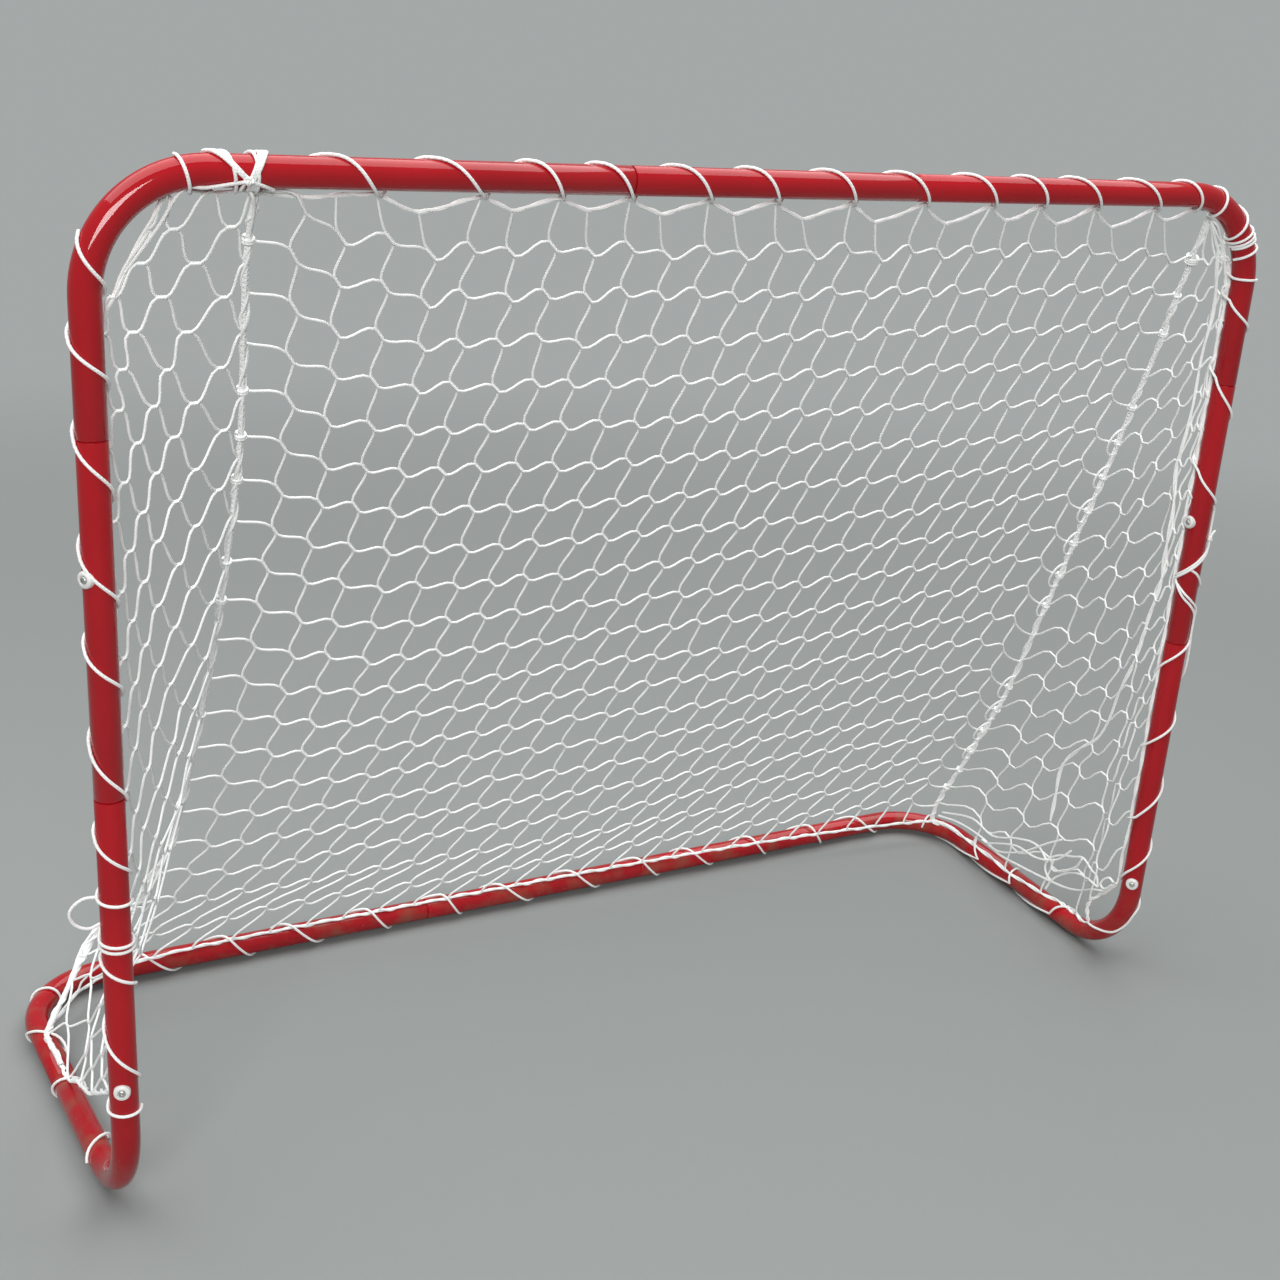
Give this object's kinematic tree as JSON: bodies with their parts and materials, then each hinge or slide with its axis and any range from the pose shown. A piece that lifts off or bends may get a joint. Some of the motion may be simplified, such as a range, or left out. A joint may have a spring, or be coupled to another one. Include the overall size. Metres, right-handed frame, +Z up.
{
  "type": "hockey goal",
  "caption": "Small free-standing goal: red round steel tubes pushed together at swaged joints, with a white knotless net laced round them and sloping to the base.",
  "frame": {"origin": "middle of the goal's footprint on the ground, at the height its base lacing rests on", "axes": "+X to the right seen from the front, along the crossbar; +Y back into the goal; +Z up"},
  "size_m": [1.6238, 0.5934, 1.2113],
  "materials": {
    "red_paint": "gloss",
    "white_plastic": "satin",
    "screw_zinc": "satin",
    "net_cord": "matte",
    "white_rope": "matte",
    "lacing_cord": "matte"
  },
  "bodies": {
    "root": {"crossbar_centre": "red_paint", "top_corner_left": "red_paint", "top_corner_right": "red_paint", "post_middle_left": "red_paint", "post_middle_right": "red_paint", "foot_left": "red_paint", "foot_right": "red_paint", "base_corner_left": "red_paint", "base_corner_right": "red_paint", "base_back_centre": "red_paint", "cap_washers": "white_plastic", "cap_screws": "screw_zinc", "net_back": "net_cord", "net_left": "net_cord", "net_right": "net_cord", "corner_rope_left": "white_rope", "corner_rope_right": "white_rope", "crossbar_lacing": "lacing_cord", "left_post_lacing": "lacing_cord", "right_post_upper_lacing": "lacing_cord", "right_post_lower_lacing": "lacing_cord", "base_left_lacing": "lacing_cord", "base_right_lacing": "lacing_cord", "base_back_lacing": "lacing_cord"}
  },
  "joints": []
}
